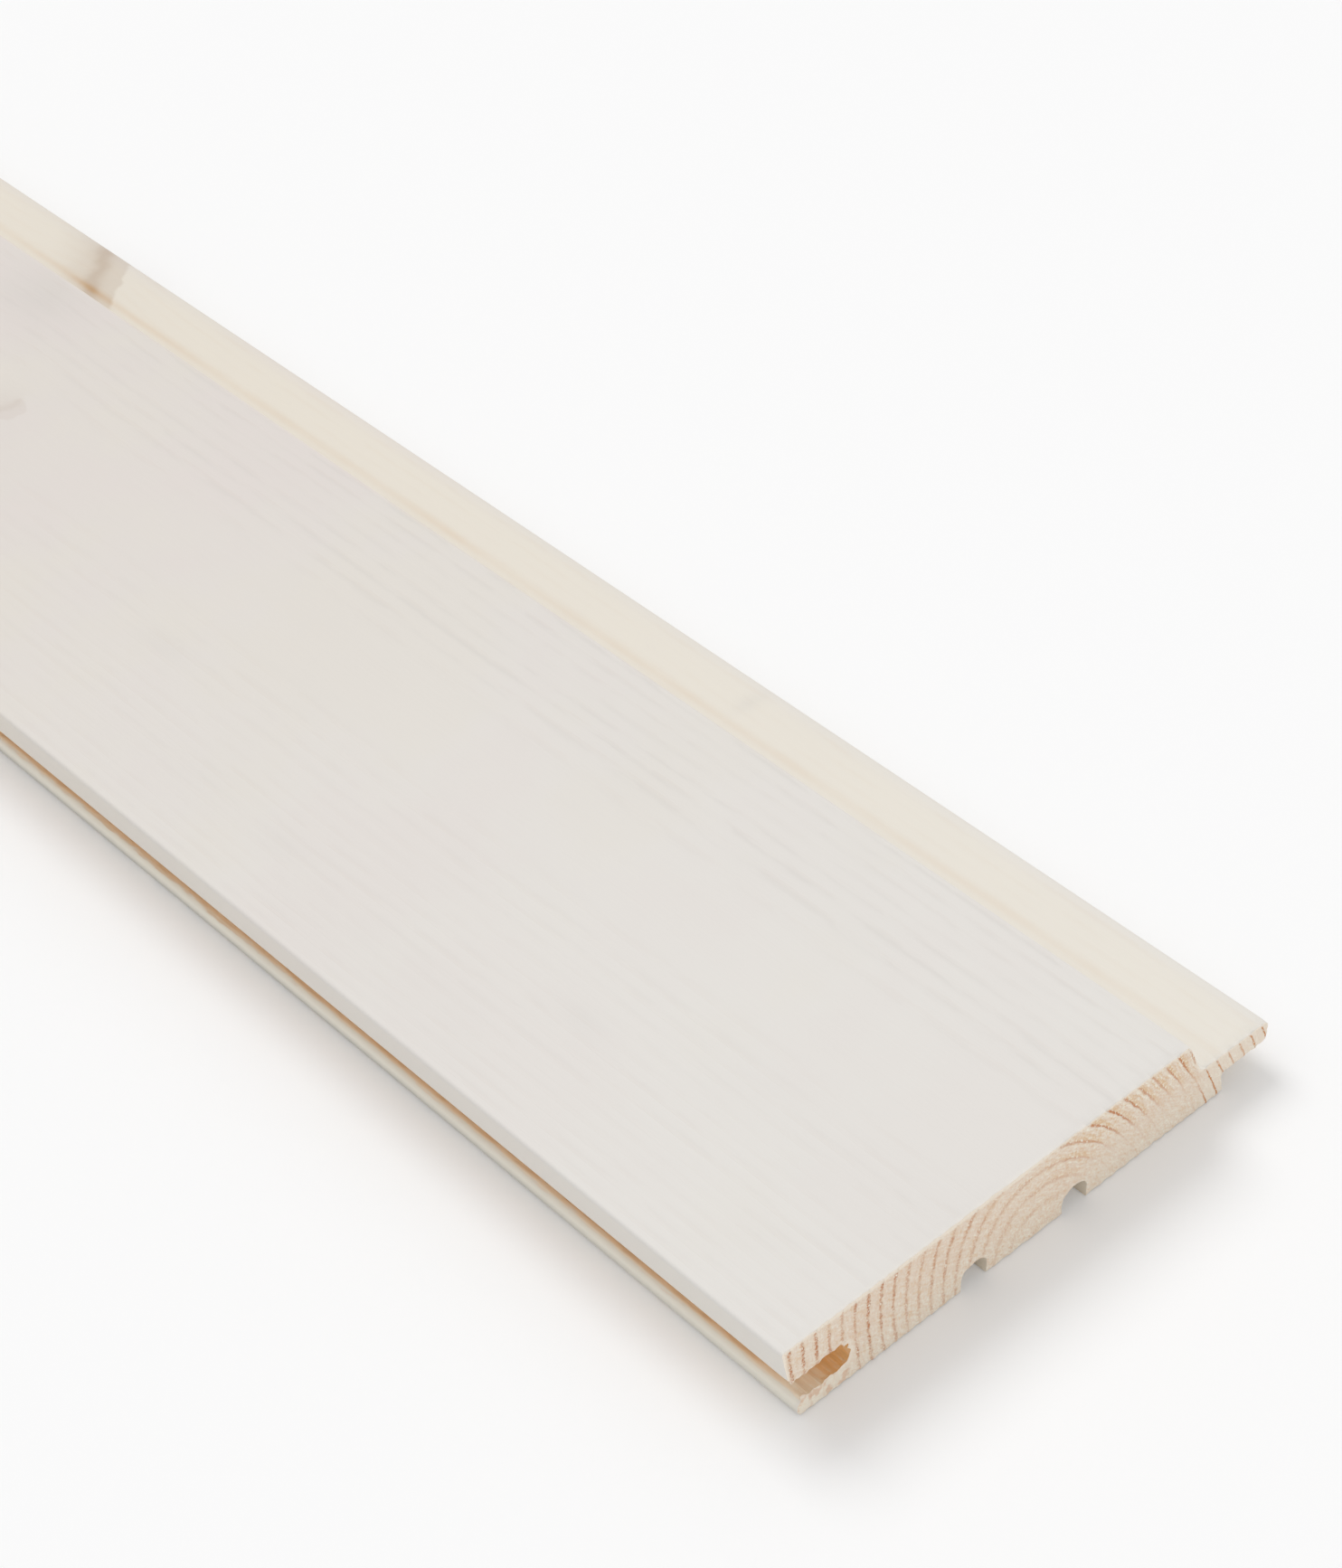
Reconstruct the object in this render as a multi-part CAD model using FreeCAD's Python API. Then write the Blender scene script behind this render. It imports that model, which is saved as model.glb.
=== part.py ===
import FreeCAD, Part
import math
import os

# Tongue and groove panel board with an open shadow joint, planed from one piece of softwood.
# Frame: X along the board, Y from the groove edge to the tongue edge, Z up from back to face.
# The origin is in the middle of the back plane. Lengths are millimetres, leans are degrees.

# Stock
LENGTH = 1800.0
THICKNESS = 15.0
COVER_WIDTH = 83.0  # from one board to the next when laid
SHADOW_GAP = 6.0  # open joint between two laid faces, measured at the face
FACE_ARRIS = 0.5  # eased edges of the face
BACK_ARRIS = 0.4  # eased edge of the back at the tongue side

# Tongue
TONGUE_DEPTH = 7.1  # face down to the top of the tongue
TONGUE_THICKNESS = 4.0
TONGUE_LENGTH = 8.8  # from the back shoulder's edge to the tip
TONGUE_TIP_RADIUS = 1.3
TONGUE_ROOT_RADIUS = 0.5
SHOULDER_LEAN = 26.0  # front shoulder, away from the upright
SHOULDER_FOOT_RADIUS = 1.6
BACK_SHOULDER_LEAN = 14.0  # the shoulder behind the tongue is undercut towards its root

# Groove, which takes the tongue of the next board
TONGUE_TOP_CLEARANCE = 0.2
TONGUE_BACK_CLEARANCE = 0.8
TONGUE_TIP_CLEARANCE = 0.6
GROOVE_END_RADIUS = 2.0
UPPER_LIP_LEAN = 12.0  # undercut of the groove edge, away from the upright
UPPER_LIP_NOSE_RADIUS = 1.0
LOWER_LIP_RECESS = 3.2  # the lower lip stands back from the face's edge
LOWER_LIP_NOSE_RADIUS = 1.2

# Relief kerfs in the back
KERF_COUNT = 2
KERF_PITCH = 19.6
KERF_WIDTH = 4.8
KERF_DEPTH = 3.8
KERF_TOP_RADIUS = 1.8
KERF_ROW_OFFSET = 0.8  # from the middle of the back, towards the tongue

FILLET_SHARE = 0.48  # most of a wall that one fillet may take up


def run_of(lean, height):
    """Sideways run of a wall that leans by so many degrees over a height."""
    return height * math.tan(math.radians(lean))


def kerf_corners(middle):
    """Corners of one relief kerf, from the groove side to the tongue side."""
    near = middle - KERF_WIDTH / 2
    far = middle + KERF_WIDTH / 2
    return [
        (near, 0.0, 0.0),
        (near, KERF_DEPTH, KERF_TOP_RADIUS),
        (far, KERF_DEPTH, KERF_TOP_RADIUS),
        (far, 0.0, 0.0),
    ]


def section_corners():
    """Corners of the section as (across, height, radius), anticlockwise with the face on top.

    Across is measured from the upper lip's edge of the face, and height from the back.
    """
    lower_lip = LOWER_LIP_RECESS
    back_shoulder = COVER_WIDTH + lower_lip
    tongue_tip = back_shoulder + TONGUE_LENGTH
    groove_end = lower_lip + TONGUE_LENGTH + TONGUE_TIP_CLEARANCE

    tongue_top = THICKNESS - TONGUE_DEPTH
    tongue_back = tongue_top - TONGUE_THICKNESS
    groove_top = tongue_top + TONGUE_TOP_CLEARANCE
    groove_back = tongue_back - TONGUE_BACK_CLEARANCE

    face_edge = COVER_WIDTH - SHADOW_GAP
    shoulder_foot = face_edge + run_of(SHOULDER_LEAN, TONGUE_DEPTH)
    upper_lip_nose = run_of(UPPER_LIP_LEAN, THICKNESS - groove_top)
    tongue_root = back_shoulder - run_of(BACK_SHOULDER_LEAN, tongue_back)

    back_middle = (lower_lip + back_shoulder) / 2 + KERF_ROW_OFFSET
    first_kerf = back_middle - KERF_PITCH * (KERF_COUNT - 1) / 2
    kerfs = []
    for number in range(KERF_COUNT):
        kerfs += kerf_corners(first_kerf + KERF_PITCH * number)

    return [
        (lower_lip, 0.0, LOWER_LIP_NOSE_RADIUS),
        *kerfs,
        (back_shoulder, 0.0, BACK_ARRIS),
        (tongue_root, tongue_back, TONGUE_ROOT_RADIUS),
        (tongue_tip, tongue_back, TONGUE_TIP_RADIUS),
        (tongue_tip, tongue_top, TONGUE_TIP_RADIUS),
        (shoulder_foot, tongue_top, SHOULDER_FOOT_RADIUS),
        (face_edge, THICKNESS, FACE_ARRIS),
        (0.0, THICKNESS, FACE_ARRIS),
        (upper_lip_nose, groove_top, UPPER_LIP_NOSE_RADIUS),
        (groove_end, groove_top, GROOVE_END_RADIUS),
        (groove_end, groove_back, GROOVE_END_RADIUS),
        (lower_lip, groove_back, LOWER_LIP_NOSE_RADIUS),
    ]


def round_corner(before, corner, after, radius):
    """Start, middle and end of the arc that rounds a corner, or the corner alone if it is sharp."""
    if radius == 0.0:
        return [corner]
    back = before - corner
    ahead = after - corner
    half_turn = back.getAngle(ahead) / 2
    reach = min(radius / math.tan(half_turn), FILLET_SHARE * min(back.Length, ahead.Length))
    back.normalize()
    ahead.normalize()
    radius = reach * math.tan(half_turn)
    inward = (back + ahead).normalize()
    middle = corner + inward * (radius / math.sin(half_turn) - radius)
    return [corner + back * reach, middle, corner + ahead * reach]


def section_wire():
    """The section as one closed wire of lines and arcs at the board's rear end."""
    corners = section_corners()
    points = [FreeCAD.Vector(-LENGTH / 2, across, height) for across, height, radius in corners]
    rounds = []
    for index, (across, height, radius) in enumerate(corners):
        after = points[(index + 1) % len(points)]
        rounds.append(round_corner(points[index - 1], points[index], after, radius))

    edges = []
    for index, stops in enumerate(rounds):
        edges.append(Part.LineSegment(rounds[index - 1][-1], stops[0]).toShape())
        if len(stops) == 3:
            edges.append(Part.Arc(*stops).toShape())
    return Part.Wire(edges)


def board():
    """The board: its section run out along the whole length, centred across the width."""
    solid = Part.Face(section_wire()).extrude(FreeCAD.Vector(LENGTH, 0.0, 0.0))
    solid.translate(FreeCAD.Vector(0.0, -solid.BoundBox.Center.y, 0.0))
    return solid


os.makedirs("parts", exist_ok=True)
board().exportStep("parts/board.step")
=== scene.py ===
"""Looks of a white glazed tongue and groove board: its sawn ends, grain, knots and thin coat.

The board lies along X with its face up, its groove at -Y and its tongue at +Y, in the CAD model's frame.
Sizes are millimetres inside the classes and metres in the finished mesh.
"""

import logging
import math
from dataclasses import dataclass
from enum import IntEnum
from typing import Any, Union

import bmesh
import bpy
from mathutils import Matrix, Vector, kdtree, noise


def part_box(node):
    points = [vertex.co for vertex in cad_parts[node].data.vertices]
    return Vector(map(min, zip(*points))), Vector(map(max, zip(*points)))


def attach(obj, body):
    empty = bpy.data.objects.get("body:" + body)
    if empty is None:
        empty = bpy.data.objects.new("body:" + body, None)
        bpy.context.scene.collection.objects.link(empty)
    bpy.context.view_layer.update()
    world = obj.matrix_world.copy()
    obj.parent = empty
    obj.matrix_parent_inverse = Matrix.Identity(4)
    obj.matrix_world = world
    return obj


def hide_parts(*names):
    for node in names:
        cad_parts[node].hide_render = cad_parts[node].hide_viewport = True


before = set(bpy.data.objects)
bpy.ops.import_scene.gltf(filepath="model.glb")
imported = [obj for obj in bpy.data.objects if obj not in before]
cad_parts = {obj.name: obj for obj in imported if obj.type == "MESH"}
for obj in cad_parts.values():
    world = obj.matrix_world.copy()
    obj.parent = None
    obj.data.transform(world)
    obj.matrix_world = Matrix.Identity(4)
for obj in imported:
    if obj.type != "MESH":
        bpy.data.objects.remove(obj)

LOG = logging.getLogger("board")
MM = 0.001
EDGE_ATTRIBUTE = "edge"
BAKE_MAP = "OFBake"
CUT_SLACK = 0.002

Colour = tuple[float, float, float, float]
Corner = tuple[float, float, float]
Span = tuple[float, float]
Socket = bpy.types.NodeSocket
Shape = bmesh.types.BMesh
Face = bmesh.types.BMFace


class Surface(IntEnum):
    """Material slots of the board."""

    PLANED = 0
    SAWN = 1


class End(IntEnum):
    """Ends of the board, by the way along X that each one faces."""

    NEAR = 1
    FAR = -1


class Value:
    """A number that a shader socket gives, with the operators that shader maths uses."""

    def __init__(self, sheet: "Sheet", socket: Socket) -> None:
        """Keeps the socket and the node sheet that it is on."""
        self.sheet = sheet
        self.socket = socket

    def __add__(self, other: "Number") -> "Value":
        """Sum."""
        return self.sheet.maths("ADD", self, other)

    __radd__ = __add__

    def __sub__(self, other: "Number") -> "Value":
        """Difference."""
        return self.sheet.maths("SUBTRACT", self, other)

    def __rsub__(self, other: "Number") -> "Value":
        """Difference from a plain number."""
        return self.sheet.maths("SUBTRACT", other, self)

    def __mul__(self, other: "Number") -> "Value":
        """Product."""
        return self.sheet.maths("MULTIPLY", self, other)

    def __abs__(self) -> "Value":
        """Size without sign."""
        return self.sheet.maths("ABSOLUTE", self)

    def whole(self) -> "Value":
        """Whole part, rounded down."""
        return self.sheet.maths("FLOOR", self)

    def part(self) -> "Value":
        """What is left above the whole part."""
        return self.sheet.maths("FRACT", self)

    def step(self, low: float, high: "Number") -> "Value":
        """Smooth step from 0 at low to 1 at high."""
        ranged = self.sheet.node(
            "ShaderNodeMapRange",
            {"interpolation_type": "SMOOTHSTEP"},
            {"Value": self, "From Min": low, "From Max": high, "To Min": 0.0, "To Max": 1.0},
        )
        return Value(self.sheet, ranged.outputs["Result"])

    def band(self, low: float, high: float, soft: float) -> "Value":
        """1 between low and high, with soft flanks outside them."""
        return self.step(low - soft, low) * (1.0 - self.step(high, high + soft))


Number = Union[float, Value]


def root(number: Number) -> Number:
    """Square root.

    Args:
        number: A plain number or a shader value.

    Returns:
        The root, of the same kind as the number.
    """
    if isinstance(number, Value):
        return number.sheet.maths("SQRT", number)
    return math.sqrt(number)


def bell(number: Number) -> Number:
    """Bell curve of height 1 about zero.

    Args:
        number: A plain number or a shader value.

    Returns:
        The curve's height, of the same kind as the number.
    """
    if isinstance(number, Value):
        return number.sheet.maths("EXPONENT", number * number * -1.0)
    return math.exp(-number * number)


def ease(number: Number, low: float, high: float) -> Number:
    """Smooth step from 0 to 1.

    Args:
        number: A plain number or a shader value.
        low: Where the step starts.
        high: Where it ends.

    Returns:
        The step's height, of the same kind as the number.
    """
    if isinstance(number, Value):
        return number.step(low, high)
    share = min(1.0, max(0.0, (number - low) / (high - low)))
    return share * share * (3.0 - 2.0 * share)


class Sheet:
    """The nodes of one material or of the sky."""

    def __init__(self, owner: bpy.types.Material | bpy.types.World) -> None:
        """Empties the owner's node tree.

        Args:
            owner: The material or the world that the nodes belong to.
        """
        self.owner = owner
        owner.use_nodes = True
        self.tree = owner.node_tree
        self.tree.nodes.clear()

    def node(
        self,
        kind: str,
        settings: dict[str, Any] | None = None,
        sockets: dict[str | int, Any] | None = None,
    ) -> bpy.types.Node:
        """Adds one node.

        Args:
            kind: The node's type.
            settings: Properties that are set first.
            sockets: A value, a Value or a socket for each named or numbered input.

        Returns:
            The node.
        """
        made = self.tree.nodes.new(kind)
        for name, value in (settings or {}).items():
            setattr(made, name, value)
        for key, value in (sockets or {}).items():
            source = value.socket if isinstance(value, Value) else value
            if isinstance(source, Socket):
                self.tree.links.new(source, made.inputs[key])
            else:
                made.inputs[key].default_value = source
        return made

    def maths(self, operation: str, *terms: Number) -> Value:
        """Adds a Math node for one operation on one or two terms."""
        made = self.node("ShaderNodeMath", {"operation": operation}, dict(enumerate(terms)))
        return Value(self, made.outputs[0])

    def vector(self, along: Number, across: Number, up: Number) -> Socket:
        """Joins three numbers into a vector socket."""
        made = self.node("ShaderNodeCombineXYZ", None, {0: along, 1: across, 2: up})
        return made.outputs[0]

    def turn(self, operation: str, first: Any, second: Any) -> bpy.types.Node:
        """Adds a Vector Math node on two vectors."""
        return self.node("ShaderNodeVectorMath", {"operation": operation}, {0: first, 1: second})

    def cloud(self, place: Socket, scale: float, detail: float) -> Value:
        """Noise from 0 to 1 at a place.

        Args:
            place: The vector at which the noise is read.
            scale: Lumps in one unit of that vector.
            detail: Number of finer layers.

        Returns:
            The noise's value.
        """
        made = self.node(
            "ShaderNodeTexNoise",
            {"noise_dimensions": "3D"},
            {"Vector": place, "Scale": scale, "Detail": detail, "Roughness": 0.55},
        )
        return Value(self, made.outputs["Fac"])

    def looks(self) -> Value:
        """Tells the rays that are looked along from those that only bring light.

        Returns:
            1 for a ray from the camera, in a reflection or through glass, and 0 for any other.
        """
        path = self.node("ShaderNodeLightPath")
        seen = Value(self, path.outputs["Is Camera Ray"]) + Value(self, path.outputs["Is Glossy Ray"])
        return seen + Value(self, path.outputs["Is Transmission Ray"])

    def layers(self, base: Any, *coats: tuple[Number, Any]) -> Socket:
        """Lays coats of colour over a base.

        Args:
            base: Lowest colour, written or linked.
            coats: The share and the colour of each coat, from the lowest up.

        Returns:
            The finished colour's socket.
        """
        settings = {"data_type": "RGBA", "blend_type": "MIX", "clamp_factor": True}
        for share, colour in coats:
            base = self.node("ShaderNodeMix", settings, {0: share, 6: base, 7: colour}).outputs[2]
        return base

    def finish(self, colour: Any, roughness: Number, height: Value, depth: float, gloss: float) -> None:
        """Ends the sheet in one principled shader with a bump.

        Args:
            colour: Base colour.
            roughness: Surface roughness.
            height: Bump height from 0 to 1.
            depth: Bump depth in metres.
            gloss: Specular level.
        """
        bump = self.node("ShaderNodeBump", None, {"Strength": 1.0, "Distance": depth, "Height": height})
        shader = self.node(
            "ShaderNodeBsdfPrincipled",
            None,
            {
                "Base Color": colour,
                "Roughness": roughness,
                "Specular IOR Level": gloss,
                "Normal": bump.outputs["Normal"],
            },
        )
        self.node("ShaderNodeOutputMaterial", None, {"Surface": shader.outputs["BSDF"]})


@dataclass(frozen=True)
class Grain:
    """One noise in the wood: its stretch and shift along each axis, its scale and its finer layers."""

    stretch: Corner
    scale: float
    detail: float
    shift: Corner = (0.0, 0.0, 0.0)

    def read(self, sheet: Sheet, place: Socket) -> Value:
        """Reads the noise.

        Args:
            sheet: The material's nodes.
            place: The vector at which it is read.

        Returns:
            The noise from 0 to 1.
        """
        moved = sheet.node(
            "ShaderNodeVectorMath", {"operation": "MULTIPLY_ADD"}, {0: place, 1: self.stretch, 2: self.shift}
        )
        return sheet.cloud(moved.outputs[0], self.scale, self.detail)


@dataclass(frozen=True)
class Site:
    """The shader values that tell where on the board a point lies, in millimetres."""

    sheet: Sheet
    behind: Value
    across: Value
    height: Value
    place: Socket


@dataclass(frozen=True)
class Section:
    """Sizes of the board's section, as the CAD model has them."""

    thickness: float = 15.0
    cover_width: float = 83.0
    shadow_gap: float = 6.0
    face_arris: float = 0.5
    back_arris: float = 0.4
    tongue_depth: float = 7.1
    tongue_thickness: float = 4.0
    tongue_length: float = 8.8
    tongue_tip_radius: float = 1.3
    tongue_root_radius: float = 0.5
    shoulder_lean: float = 26.0
    shoulder_foot_radius: float = 1.6
    back_shoulder_lean: float = 14.0
    tongue_top_clearance: float = 0.2
    tongue_back_clearance: float = 0.8
    tongue_tip_clearance: float = 0.6
    groove_end_radius: float = 2.0
    upper_lip_lean: float = 12.0
    upper_lip_nose_radius: float = 1.0
    lower_lip_recess: float = 3.2
    lower_lip_nose_radius: float = 1.2
    kerf_pitch: float = 19.6
    kerf_width: float = 4.8
    kerf_depth: float = 3.8
    kerf_top_radius: float = 1.8
    kerf_row_offset: float = 0.8

    @property
    def face_edge(self) -> float:
        """Where the face ends at the tongue side."""
        return self.cover_width - self.shadow_gap

    @property
    def tongue_top(self) -> float:
        """Height of the tongue's upper side."""
        return self.thickness - self.tongue_depth

    @property
    def groove_top(self) -> float:
        """Height of the groove's upper wall."""
        return self.tongue_top + self.tongue_top_clearance

    @property
    def groove_back(self) -> float:
        """Height of the groove's lower wall."""
        return self.tongue_top - self.tongue_thickness - self.tongue_back_clearance

    @property
    def shoulder_foot(self) -> float:
        """Where the leaning shoulder meets the tongue."""
        return self.face_edge + self.tongue_depth * math.tan(math.radians(self.shoulder_lean))

    @property
    def tongue_tip(self) -> float:
        """Where the tongue ends."""
        return self.cover_width + self.lower_lip_recess + self.tongue_length

    def kerf(self, middle: float) -> list[Corner]:
        """Corners of one relief kerf in the back, from the groove side to the tongue side.

        Args:
            middle: Where the kerf's middle lies across the board.

        Returns:
            The corners as across, height and radius.
        """
        near = middle - self.kerf_width / 2
        far = middle + self.kerf_width / 2
        top = self.kerf_depth
        return [
            (near, 0.0, 0.0),
            (near, top, self.kerf_top_radius),
            (far, top, self.kerf_top_radius),
            (far, 0.0, 0.0),
        ]

    def corners(self) -> list[Corner]:
        """Corners of the section as across, height and radius, anticlockwise with the face on top.

        Returns:
            The corners; across counts from the upper lip's edge, height from the back.
        """
        lower_lip = self.lower_lip_recess
        back_shoulder = self.cover_width + lower_lip
        groove_end = lower_lip + self.tongue_length + self.tongue_tip_clearance
        tongue_back = self.tongue_top - self.tongue_thickness
        tongue_root = back_shoulder - tongue_back * math.tan(math.radians(self.back_shoulder_lean))
        lip_run = (self.thickness - self.groove_top) * math.tan(math.radians(self.upper_lip_lean))
        back_middle = (lower_lip + back_shoulder) / 2 + self.kerf_row_offset
        return [
            (lower_lip, 0.0, self.lower_lip_nose_radius),
            *self.kerf(back_middle - self.kerf_pitch / 2),
            *self.kerf(back_middle + self.kerf_pitch / 2),
            (back_shoulder, 0.0, self.back_arris),
            (tongue_root, tongue_back, self.tongue_root_radius),
            (self.tongue_tip, tongue_back, self.tongue_tip_radius),
            (self.tongue_tip, self.tongue_top, self.tongue_tip_radius),
            (self.shoulder_foot, self.tongue_top, self.shoulder_foot_radius),
            (self.face_edge, self.thickness, self.face_arris),
            (0.0, self.thickness, self.face_arris),
            (lip_run, self.groove_top, self.upper_lip_nose_radius),
            (groove_end, self.groove_top, self.groove_end_radius),
            (groove_end, self.groove_back, self.groove_end_radius),
            (lower_lip, self.groove_back, self.lower_lip_nose_radius),
        ]


@dataclass(frozen=True)
class Knot:
    """One branch, from the pith outwards. Places are behind the near end, across and height."""

    start: Corner
    end: Corner
    radius: float
    sway: float
    dark: float

    def beside(self, sheet: Sheet, place: Socket) -> tuple[Value, Value, Value]:
        """Where a place lies beside the branch.

        Args:
            sheet: The material's nodes.
            place: Behind, across and height as a vector.

        Returns:
            The distance from the branch's middle line, how far outwards along it, and how far behind it.
        """
        run = (Vector(self.end) - Vector(self.start)).normalized()
        away = sheet.turn("SUBTRACT", place, self.start).outputs[0]
        outward = Value(sheet, sheet.turn("DOT_PRODUCT", away, run).outputs["Value"])
        behind = Value(sheet, sheet.turn("DOT_PRODUCT", away, (1.0, 0.0, 0.0)).outputs["Value"])
        spread = sheet.turn("CROSS_PRODUCT", away, run).outputs[0]
        gap = sheet.node("ShaderNodeVectorMath", {"operation": "LENGTH"}, {0: spread})
        return Value(sheet, gap.outputs["Value"]), outward, behind - outward * run.x


@dataclass(frozen=True)
class Smudge:
    """One soft grey cloud on the face."""

    behind: float
    across: float
    length: float
    width: float
    strength: float


@dataclass(frozen=True)
class Log:
    """The stick that the board was planed from: its growth rings and branches."""

    pith_across: float = 51.98
    pith_height: float = -7.16
    lean: float = 0.55
    squash: float = 0.853
    ring_width: float = 2.384
    first_ring: float = 3.416
    core_gain: float = 1.118
    core_spread: float = 9.0
    widening: float = 0.0288
    widening_reach: float = 9.0
    rhythm: float = 5.6
    strong_ring: float = 11.6
    knots: tuple[Knot, ...] = (
        Knot((233.0, 49.9, -0.2), (271.9, 94.5, 7.5), 5.0, 3.2, 1.0),
        Knot((228.0, 49.9, -0.2), (234.0, 46.0, 15.0), 3.6, 2.2, 0.35),
        Knot((690.0, 49.9, -0.2), (712.0, 30.0, 15.0), 5.0, 3.0, 0.9),
        Knot((1180.0, 49.9, -0.2), (1196.0, 61.0, 15.0), 4.2, 2.6, 0.8),
        Knot((1190.0, 49.9, -0.2), (1230.0, 3.0, 9.0), 4.6, 2.8, 0.9),
        Knot((1560.0, 49.9, -0.2), (1583.0, 41.0, 15.0), 5.2, 3.2, 0.9),
    )
    smudges: tuple[Smudge, ...] = (
        Smudge(60.0, 21.0, 4.0, 2.0, 0.5),
        Smudge(164.0, 28.0, 6.0, 2.5, 0.5),
        Smudge(115.0, 13.0, 5.0, 3.0, 0.35),
        Smudge(258.0, 71.0, 10.0, 7.0, 1.2),
        Smudge(98.5, 90.0, 1.6, 3.0, 0.9),
    )

    def rings(self, across: Number, height: Number, stray: Number = 0.0) -> tuple[Number, Number]:
        """Growth rings at a place.

        Args:
            across: Distance from the upper lip's edge.
            height: Distance above the back.
            stray: Added to the radius, for waves and knots.

        Returns:
            The radius from the pith, and the ring count, which is whole at each dark line.
        """
        aside = across - self.pith_across
        above = (height - self.pith_height + aside * self.lean) * self.squash
        radius = root(aside * aside + above * above) + stray
        core = bell(radius * (1.0 / self.core_spread)) * self.core_gain
        wider = ease(aside, -self.widening_reach, self.widening_reach) * radius * self.widening
        return radius, radius * (1.0 / self.ring_width) - self.first_ring + core - wider

    def turned(self, across: Value, height: Value) -> Value:
        """Angle about the pith, along the leaning rings."""
        aside = across - self.pith_across
        return across.sheet.maths("ARCTAN2", height - self.pith_height + aside * self.lean, aside)

    def vigour(self, ring: Value) -> Value:
        """How strong a ring's dark line is, from 0 to 1, in a slow rhythm of years."""
        turn = (ring - self.strong_ring) * (2.0 * math.pi / self.rhythm)
        return ring.sheet.maths("COSINE", turn) * 0.5 + 0.5


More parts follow.
